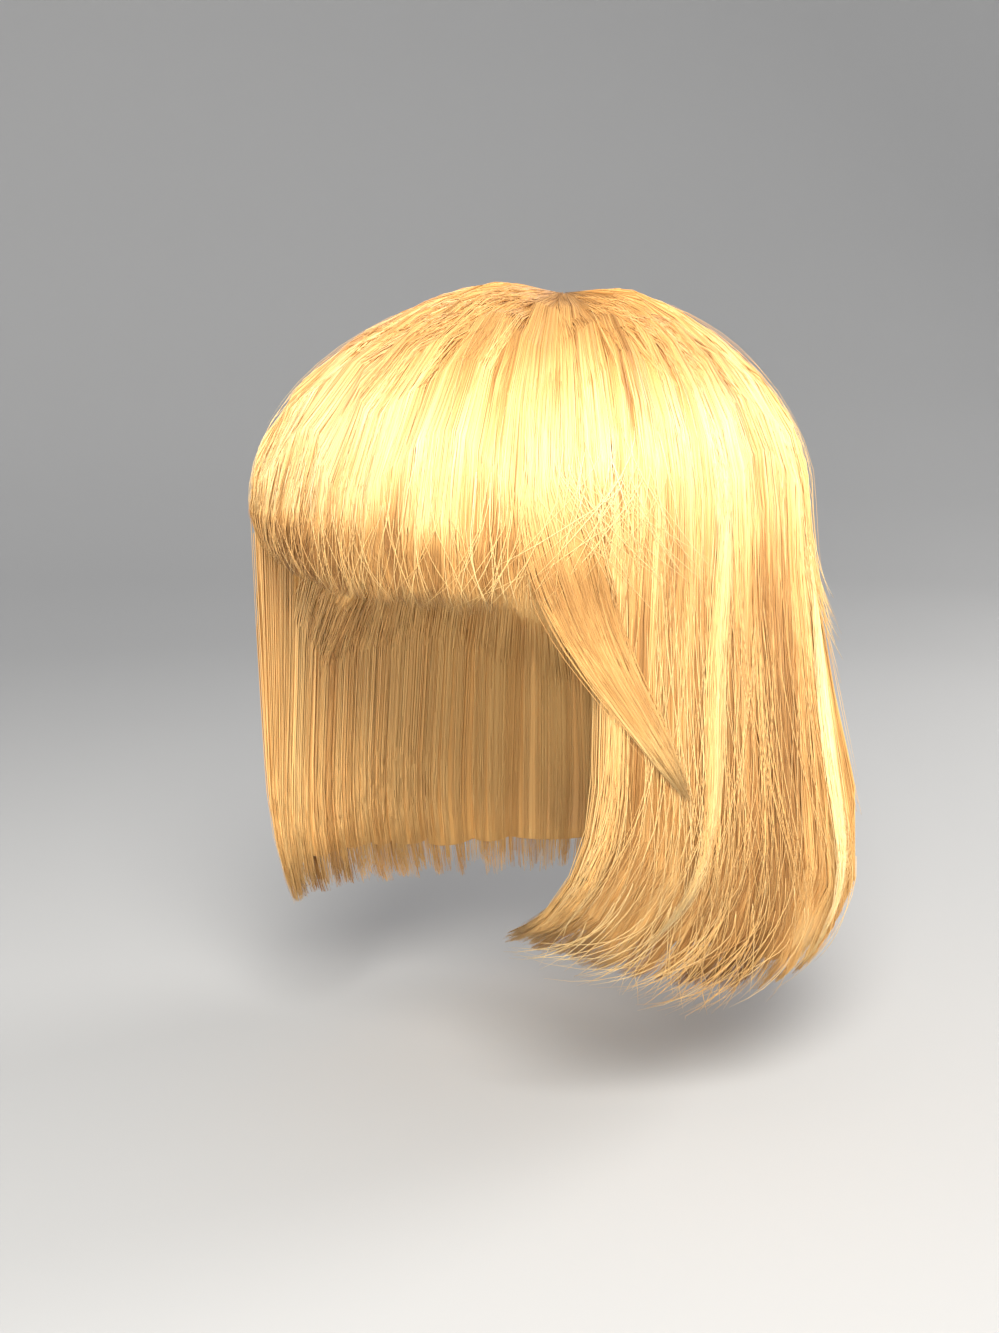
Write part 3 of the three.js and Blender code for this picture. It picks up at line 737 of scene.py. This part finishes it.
def panel_strands(name, count, rng, steps, width_mm):
    """Strands that lie on a panel, gathered into tresses that close towards their tips."""
    flow, start, end = PANELS[name][:3]
    angle = np.sort(rng.uniform(start + 0.3, end - 0.3, count))
    crown = lock_place(angle, PANELS[name])
    tress, across, number, tresses = groups_of(angle, TRESS, rng)
    wisp, _, wisp_number, wisps = groups_of(angle, WISP, rng)
    each = lambda low, high, groups, of: rng.uniform(low, high, groups)[of][:, None]

    # Where each strand leaves the whorl, its crease or the hair below it, and where it ends
    kind = rng.random(count)
    creased = (kind < CREASED_SHARE) & (np.abs(wrap(angle - CREASE_ANGLE)) < CREASE_REACH)
    rooted = (kind < ROOTED_SHARE) | creased
    out_along = rng.uniform(3 * MM, 0.9 * CREASE_AHEAD, count) / flow.reach(np.full(count, CREASE_ANGLE))
    on_crease = 2 / np.pi * np.arcsin(out_along ** (1 / flow.column("full", angle))) - 1
    at_whorl = bare_level(flow, angle, rng.uniform(0.6, 1.8, count))
    first = np.where(rooted, at_whorl, rng.uniform(-0.8, -0.2, count))
    first = np.where(creased, on_crease, first)
    ragged, uneven = (0.15, 0.06) if flow is brow else (0.05, 0.025)
    last = 1.02 - ragged * rng.random(count) ** 1.4 - uneven * rng.random(tresses)[number]
    early = rng.random(count) < (0.4 if flow is brow else 0.16)
    stop = rng.uniform(-0.1, 0.85, count) if flow is brow else rng.uniform(0.5, 0.97, count)
    last = np.where(early, stop, last - (0.015 * (1 - crown) if flow is fall else 0))
    level, share = levels_between(flow, angle, first, last, steps)

    # The way it runs around the head
    pinch = each(0.1, 0.5, wisps, wisp_number) * ease((level + 0.6) / 1.2)
    gather = each(0.0, 0.35, tresses, number) * ease((level + 0.2) / 1.3)
    path_angle = mix(mix(angle[:, None], wisp[:, None], pinch), tress[:, None], gather)
    drift = rng.normal(0, 0.7, tresses)[number] + rng.normal(0, 0.4, wisps)[wisp_number]
    path_angle = path_angle + drift[:, None] * ease((level + 0.2) / 1.2)
    path_angle = path_angle + rng.normal(0, 0.5, count)[:, None] * ease((level + 0.6) / 1.6)
    wave = 0.45 * np.sin(10 * level + each(0, 6.3, tresses, number))
    wave = wave + 0.2 * np.sin(17 * level + each(0, 6.3, wisps, wisp_number))
    path_angle = path_angle + wave * ease((level + 0.2) / 0.4)
    if flow is brow:
        aside = np.interp(angle, [-56, -38, -12, 10, 35, 61], [-1, -6, -7, -3, 0, 4])
        path_angle = path_angle + aside[:, None] * ease((level + 0.6) / 1.5)
    crossing = rng.random(count) < CROSSING_SHARE
    path_angle = path_angle + (crossing * rng.normal(0, 5, count))[:, None] * ease((level + 0.5) / 1.3)
    leaving = 1 - ease((level - first[:, None]) / 0.42)
    path_angle = path_angle + (creased * 0.85 * (CREASE_ANGLE - angle))[:, None] * leaving
    slack = 5 if flow is brow else 0.8
    path_angle = np.clip(path_angle, start - slack, end + slack)

    # How deep it lies
    layer = mix(0.7, rng.beta(1.1, 1.6, count) * 1.9, rooted) * MM * np.where(early, 0.4, 1)
    layer = np.where(crossing, -0.3 * MM, layer)[:, None]
    relief = LOCK_RELIEF * ease(1.4 * (1 + level)) * (1 - crown)[:, None]
    tuck = 0.8 * MM * each(0, 1, tresses, number) * ease((level + 0.5) / 1.2)
    swell = 0.5 * MM * (across**2)[:, None] * ease((level + 0.7) / 1.2)
    root = 2.4 * MM * (1 - ease((level - first[:, None]) / 0.3)) * (~rooted)[:, None]
    flick = (early * rng.uniform(0, 1.4 * MM, count))[:, None] * share**4
    face, inward = flow.at(path_angle, level)
    room = np.linalg.norm(flow.inner(path_angle, level) - face, axis=-1)
    depth = np.minimum(layer + 0.5 * relief + tuck + swell + root, room - LEAST_COVER) - flick
    path = face + inward * depth[..., None]

    width = fibre_width(count, share, level, rng, width_mm)
    # Painted shade and light in the tint: deeper strands and those between locks are darker, the top
    # strands that end early paler, and the regions' painted highlight and shade come on top
    tint = PANEL_TINT + rng.normal(0, 0.03, count) + 0.06 * rng.normal(0, 1, tresses)[number]
    tint = tint + 0.045 * rng.normal(0, 1, wisps)[wisp_number] - 22 * layer[:, 0] - 0.03 * (1 - crown)
    odd = rng.random(count)
    tint = tint + np.where(odd < 0.06, 0.16, 0) - np.where(odd > 0.97, 0.12, 0) + 0.06 * early
    shifted = level + (rng.normal(0, 0.05, count) + rng.normal(0, 0.05, wisps)[wisp_number])[:, None]
    tint = tint[:, None] + region_tint_and_painted_light(path_angle, shifted)
    tint = tint - (creased * 0.12)[:, None] * (1 - ease((level - first[:, None]) / 0.16))
    return lay_strands(name + "_strands", path, inward, width, tint, place_of(level))


# For each panel: how many strands, the steps along each, and their width in mm
PANEL_STRANDS = {
    "fringe": (2850, 12, 0.4),
    "left_side_hair": (2420, 14, 0.4),
    "back_hair": (2350, 14, 0.57),
    "right_side_hair": (1150, 14, 0.54),
}
for seed, (name, (count, steps, width_mm)) in enumerate(PANEL_STRANDS.items(), 11):
    panel_strands(name, count, np.random.default_rng(seed), steps, width_mm)


def inner_strands(name, count, rng, steps):
    """Strands on the inner face of a panel, from the cap's rim to the tips."""
    flow, start, end = PANELS[name][:3]
    angle = np.sort(rng.uniform(start + 0.3, end - 0.3, count))
    tress, _, number, tresses = groups_of(angle, 3.2, rng)
    share = np.linspace(0, 1, steps)
    hang = flow.length * flow.column("length", angle)
    at_rim = (-rim_level(angle) - HANG_DROP) / hang
    first = np.clip(at_rim - 0.06 + 0.3 * rng.random(count) ** 3, -0.12, 0.8)
    last = 1.0 - 0.07 * rng.random(count) ** 1.4 - 0.025 * rng.random(tresses)[number]
    level = mix(first[:, None], last[:, None], share)
    gather = (0.35 * rng.random(tresses)[number])[:, None] * ease((level - 0.1) / 0.9)
    path_angle = mix(angle[:, None], tress[:, None], gather)
    path_angle = path_angle + rng.normal(0, 0.5, tresses)[number][:, None] * ease(level)
    face = flow.inner(path_angle, level)
    _, inward = flow.at(path_angle, level)
    lift = (rng.uniform(-0.2, 1.6, count) * MM)[:, None] * ease((level - first[:, None]) / 0.12)
    path = face + inward * lift[..., None]
    width = fibre_width(count, share, level, rng, 0.5)
    # A little darker than the outer strands: painted shade inside the hair
    tint = 0.38 + rng.normal(0, 0.04, count) + 0.05 * rng.normal(0, 1, tresses)[number]
    tint = tint[:, None] + 0 * level
    return lay_strands(name + "_inner_strands", path, -inward, width, tint, place_of(level))


# For each panel: how many strands, and the steps along each
INNER_STRANDS = {
    "fringe": (450, 5),
    "left_side_hair": (420, 7),
    "back_hair": (1150, 7),
    "right_side_hair": (650, 7),
}
for seed, (name, (count, steps)) in enumerate(INNER_STRANDS.items(), 21):
    inner_strands(name, count, np.random.default_rng(seed), steps)


# The long locks, as in the part's source: levels, angles, bend, and shares of width and depth

LONG_LOCKS = {
    "swept_lock": (-0.1, 0.53, 47, 75.5, 1.65, 0.7, 0.9),
    "long_lock_1": (-0.3, 0.84, 85.5, 78, 3, 0.38, 0.6),
    "long_lock_2": (-0.04, 0.9, 123, 118.5, 2, 0.4, 0.6),
}
LONG_LOCK_WIDTH = 32 * MM
LONG_LOCK_DEPTH = 5 * MM
LONG_LOCK_EDGE = 0.9 * MM


def on_long_lock(name, along, across, height, sink=0.0):
    """A point of a long lock: along from its root to its tip, across from -1 to 1, and height from
    0 on the hair below to 1 on its outer face."""
    first, last, leave, reach, bend, width, depth = LONG_LOCKS[name]
    taper = np.sin(np.pi * mix(0.06, 0.98, np.clip(along, 0, 1))) ** 0.6
    middle = mix(leave, reach, np.maximum(along, 0) ** bend)
    angle = middle + np.degrees(across * taper * LONG_LOCK_WIDTH * width / 2 / fall.reach(middle))
    level = mix(first, last, along)
    bulge = LONG_LOCK_DEPTH * depth - LONG_LOCK_EDGE
    raised = height * (LONG_LOCK_EDGE + bulge * taper * (1 - np.minimum(across**2, 1)))
    points, inward = fall.at(angle, level, sink - raised)
    return points, inward, level


def long_lock(name, count, rng, tint, merge, loose):
    """A lock's narrow body, and the strands over it. They leave the hair below over the share merge
    of the lock's length, and end in a tip. More loose strands lie closer to its middle."""
    along, across = np.meshgrid(np.linspace(0.1, 0.72, 26), np.linspace(-0.55, 0.55, 9) * (1 - 0.4 * loose))
    low = lambda along: 1 - ease((along + 0.1) / (merge + 0.1))
    under = mix(1 + loose, 3.5, low(along)) * MM
    outer = on_long_lock(name, along, across, 0.35 * (1 - low(along)), under)[0]
    inner = on_long_lock(name, along, across, 0.0, under + 0.6 * MM)[0]
    # valley is painted shade, darker towards the body's sides
    values = {"around": across * 12, "down": along * 200, "valley": 0.3 * np.abs(across)}
    body = shell(name + "_body", outer, inner, values, locks)
    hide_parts(name)
    aside = rng.uniform(-1, 1, count) * rng.random(count) ** loose
    height = 0.2 + 0.55 * rng.random(count) ** 0.8
    share = np.linspace(0, 1, 12)
    start = rng.uniform(-0.8, 0.5, count) * merge
    end = 1.0 - 0.22 * rng.random(count) ** 2 + 0.02 * rng.normal(0, 1, count)
    along = mix(start[:, None], end[:, None], share)
    wisp = np.round(aside * 5) / 5
    spread = mix(2.4, 1.0, ease((along + 0.3) / (merge + 0.3)))
    spot = mix(aside[:, None], wisp[:, None], 0.5 * ease(along)) * spread
    spot = spot + rng.normal(0, 0.08 + 0.12 * loose, count)[:, None] * along
    spot = spot + loose * 0.35 * np.sin(9 * along + rng.normal(0, 0.5, count)[:, None])
    rise = height[:, None] * (1 - low(along))
    sink = mix(rng.uniform(0.3, 2.6, count)[:, None] * MM, 0, 1 - low(along))
    sink = sink + 3 * MM * (1 - ease((along - start[:, None]) / 0.3)) - 0.8 * MM * ease((along - 0.7) / 0.3)
    path, inward, level = on_long_lock(name, along, spot, rise, sink)
    width = fibre_width(count, share, level, rng, 0.36)
    shade = tint + rng.normal(0, 0.04 + 0.05 * loose, count) + 0.05 * np.sin(7 * wisp + 1)
    # Painted highlight: paler along the lock's lower edge and towards its tip; the regions' painted
    # highlight and shade come on top
    edge = 0.1 * ease(-aside)[:, None] * ease((along - 0.5) / 0.3) + 0.12 * ease((along - 0.75) / 0.25)
    leave, reach, bend = LONG_LOCKS[name][2:5]
    there = region_tint_and_painted_light(mix(leave, reach, np.maximum(along, 0) ** bend), level)
    shade = shade[:, None] * (1 - low(along)) + PANEL_TINT * low(along) + edge + there
    return lay_strands(name + "_strands", path, inward, width, shade, place_of(level))


# For each long lock: how many strands, their tint, merge and loose
LONG_LOCK_STRANDS = {
    "swept_lock": (430, 0.55, 0.75, 0.35),
    "long_lock_1": (170, 0.72, 0.35, 1.0),
    "long_lock_2": (170, 0.76, 0.3, 0.9),
}
for seed, (name, (count, *look)) in enumerate(LONG_LOCK_STRANDS.items(), 31):
    long_lock(name, count, np.random.default_rng(seed), *look)


FEW_STEPS = 9  # steps along the strands that follow


def edge_strands(name, angle, count, rng, tint):
    """Strands that cover the side of a panel's thick edge, and a few that hang beside it."""
    spot = angle + rng.normal(0, 0.7, count) + np.where(rng.random(count) < 0.2, -2.5, 0)
    share = np.linspace(0, 1, FEW_STEPS)
    first = rng.uniform(0.0, 0.12, count)
    last = 1.01 - 0.09 * rng.random(count) ** 1.3
    level = mix(first[:, None], last[:, None], share)
    deep = rng.random(count)[:, None] * fall.wall(level)
    sway = rng.normal(0, 0.8, count)[:, None] * ease(level)
    path, inward = fall.at(spot[:, None] + sway, level, deep)
    width = fibre_width(count, share, level, rng, 0.42)
    # Paler towards the tips: painted light on the curled ends
    shade = (tint + rng.normal(0, 0.05, count))[:, None] + 0.05 * ease((level - 0.6) / 0.3)
    side = np.cross(inward, [0.0, 0, 1])
    return lay_strands(name, path, side, width, shade, place_of(level))


# The far front edge has the darker tint: painted shade on the side turned from the key light
edge_strands("left_front_edge_strands", 61.0, 420, np.random.default_rng(41), 0.42)
edge_strands("right_front_edge_strands", -56.0, 360, np.random.default_rng(42), 0.36)


def loose_strands(name, count, rng):
    """Fine single hairs that stand a little off a panel."""
    flow, start, end = PANELS[name][:3]
    angle = rng.uniform(start, end, count)
    share = np.linspace(0, 1, FEW_STEPS)
    first = rng.uniform(-0.8, 0.4, count)
    last = np.minimum(first + rng.uniform(0.3, 0.8, count), 1.04)
    level = mix(first[:, None], last[:, None], share)
    off = (rng.uniform(0.3, 2.4, count) * MM)[:, None] * ease(share * 1.5)
    off = off - 2.5 * MM * (1 - ease(share * 4))
    sway = rng.normal(0, 1.6, count)[:, None] * share**2
    sway = sway + rng.normal(0, 0.5, count)[:, None] * np.sin(4 * share)
    path, inward = flow.at(angle[:, None] + sway, level, -off)
    width = fibre_width(count, share, level, rng, 0.2)
    # The regions' painted highlight and painted shade are added to these hairs' tint
    tint = (0.6 + rng.normal(0, 0.07, count))[:, None] + region_tint_and_painted_light(angle[:, None], level)
    return lay_strands(name + "_loose_strands", path, inward, width, tint, place_of(level))


LOOSE_COUNTS = {"fringe": 60, "left_side_hair": 60, "back_hair": 110, "right_side_hair": 50}
for seed, (name, count) in enumerate(LOOSE_COUNTS.items(), 51):
    loose_strands(name, count, np.random.default_rng(seed))


# Stray hairs: how many, the middle and spread of their angles at the root and at the tip, their
# first and last levels, and how far in mm their tips stand off
STRAYS = {
    "brow": (260, 0, 60, 0, 60, -0.1, 0.85, 1.0),
    "crossing": (70, 58, 7, 62, 12, -0.14, 0.12, 1.5),
    "flipped": (46, 124, 2.5, 127, 1.8, 0.0, 0.25, 8),
    "front": (16, 60, 0.6, 56.5, 1.2, 0.36, 0.76, 1),
    "side": (170, 86, 16, 85, 19, 0.1, 0.8, 2.2),
    "hem": (120, 86, 14, 85, 16, 0.78, 1.04, 4),
}


def stray_strands(name, rng):
    """Fine hairs that leave the flow of the panels in one place."""
    flow = brow if name == "brow" else fall
    count, root, root_spread, tip, tip_spread, start, end, off = STRAYS[name]
    share = np.linspace(0, 1, FEW_STEPS)
    first, last = start + rng.normal(0, 0.05, count), end + rng.normal(0, 0.04, count)
    level = mix(first[:, None], last[:, None], share)
    from_angle, to_angle = rng.normal(root, root_spread, count), rng.normal(tip, tip_spread, count)
    if tip_spread > 15:
        to_angle = from_angle + rng.normal(-3 if flow is brow else 0, 6 if flow is brow else 9, count)
    angle = mix(from_angle[:, None], to_angle[:, None], share**1.5)
    if start >= 0.1:
        angle = np.maximum(angle, 54 if name == "front" else 62)
    if flow is brow:
        angle = np.clip(angle, -54, 60)
    bow = rng.normal(0, 1.2, count)[:, None] * np.sin(np.pi * share)
    lift = off * MM * rng.uniform(0.2, 1, count)[:, None] * share**2 - 1.6 * MM * (1 - ease(share * 5))
    path, inward = flow.at(angle + bow, level, -lift)
    width = fibre_width(count, share, level, rng, 0.28)
    # The regions' painted highlight and painted shade are added to these hairs' tint
    tint = (0.68 + rng.normal(0, 0.07, count))[:, None] + 0.7 * region_tint_and_painted_light(angle, level)
    return lay_strands("stray_strands_" + name, path, inward, width, tint, place_of(level))


for seed, name in enumerate(STRAYS, 61):
    stray_strands(name, np.random.default_rng(seed))


# The stage, the lights and the camera

CAMERA_AZIMUTH, CAMERA_ELEVATION = 45.0, 10.0
CAMERA_PLACE = (0.4618, -0.4793, -0.031)
PHOTO_FOCAL_PIXELS, PHOTO_LONG_SIDE = 1600, 1333
SENSOR = 36.0
STAGE_DROP = 35 * MM  # from the tips down to the floor
AIM_HEIGHT = -120 * MM  # the height that the lights point at

# Name, azimuth and elevation in degrees, distance and size in metres, power in watts, and colour
LIGHTS = [
    ("key", 46, 40, 1.5, 0.9, 43, (1.0, 0.97, 0.9)),
    ("fill", 40, 3, 1.7, 0.5, 13, (1.0, 0.95, 0.88)),
    ("rim", 160, 22, 1.7, 0.8, 20, (1.0, 0.96, 0.9)),
]
AIR_COLOUR, AIR_STRENGTH = (0.9, 0.93, 1.0), 0.42
PAPER = (0.44, 0.445, 0.455)


def make_stage():
    """A pale floor that curves up into a round backdrop."""
    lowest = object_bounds()[0][2] - STAGE_DROP
    across = np.array([0.0, 0.4, 0.8, 1.2, 1.6, 1.9, 2.15, 2.35, 2.47, 2.5, 2.5])
    up = np.array([0.0, 0.0, 0.0, 0.0, 0.03, 0.12, 0.29, 0.56, 0.92, 1.4, 2.4])
    turn = np.linspace(0, 2 * np.pi, 97)[:-1]
    x, y = np.outer(np.cos(turn), across[1:]), np.outer(np.sin(turn), across[1:])
    rings = np.stack([x, y, up[1:] + 0 * x], axis=-1)
    points = np.concatenate([[[0, 0, 0]], rings.reshape(-1, 3)]) + [0, 0, lowest]
    number = 1 + np.arange(rings.shape[0] * rings.shape[1]).reshape(rings.shape[:2])
    after = np.roll(number, -1, axis=0)
    middle = np.stack([0 * number[:, 0], number[:, 0], after[:, 0]], axis=-1)
    quads = np.stack([number[:, :-1], number[:, 1:], after[:, 1:], after[:, :-1]], axis=-1).reshape(-1, 4)
    mesh = bpy.data.meshes.new("studio_floor")
    mesh.from_pydata(points.tolist(), [], middle.tolist() + quads.tolist())
    mesh.polygons.foreach_set("use_smooth", np.ones(len(mesh.polygons), bool))
    floor = bpy.data.objects.new("studio_floor", mesh)
    bpy.context.collection.objects.link(floor)
    paper = Finish("studio_paper", roughness=0.9)
    paper.shader.inputs["Base Color"].default_value = (*PAPER, 1)
    mesh.materials.append(paper.material)
    floor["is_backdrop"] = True


def make_light(name, azimuth, elevation, distance, size, power, colour):
    a, e = math.radians(azimuth), math.radians(elevation)
    lamp = bpy.data.lights.new(name, "AREA")
    lamp.shape, lamp.size, lamp.energy, lamp.color = "DISK", size, power, colour
    light = bpy.data.objects.new(name, lamp)
    bpy.context.collection.objects.link(light)
    back = np.array([math.sin(a) * math.cos(e), -math.cos(a) * math.cos(e), math.sin(e)])
    light.location = back * distance + [0, 0, AIM_HEIGHT]
    light.rotation_euler = Vector(-back).to_track_quat("-Z", "Y").to_euler()
    light.visible_camera = False


def make_camera():
    a, e = math.radians(CAMERA_AZIMUTH), math.radians(CAMERA_ELEVATION)
    data = bpy.data.cameras.new("photo_camera")
    data.sensor_width, data.lens = SENSOR, PHOTO_FOCAL_PIXELS * SENSOR / PHOTO_LONG_SIDE
    camera = bpy.data.objects.new("photo_camera", data)
    bpy.context.collection.objects.link(camera)
    back = Vector((math.sin(a) * math.cos(e), -math.cos(a) * math.cos(e), math.sin(e)))
    camera.location = CAMERA_PLACE
    camera.rotation_euler = (-back).to_track_quat("-Z", "Y").to_euler()
    bpy.context.scene.camera = camera


make_stage()
for light in LIGHTS:
    make_light(*light)
make_camera()

world = bpy.data.worlds.new("studio_air")
bpy.context.scene.world = world
world.use_nodes = True
world.node_tree.nodes["Background"].inputs["Color"].default_value = (*AIR_COLOUR, 1)
world.node_tree.nodes["Background"].inputs["Strength"].default_value = AIR_STRENGTH
bpy.context.scene.view_settings.view_transform = "Standard"

low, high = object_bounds()
{"cad": [list(c) for c in cad_box], "visual": [list(low), list(high)]}
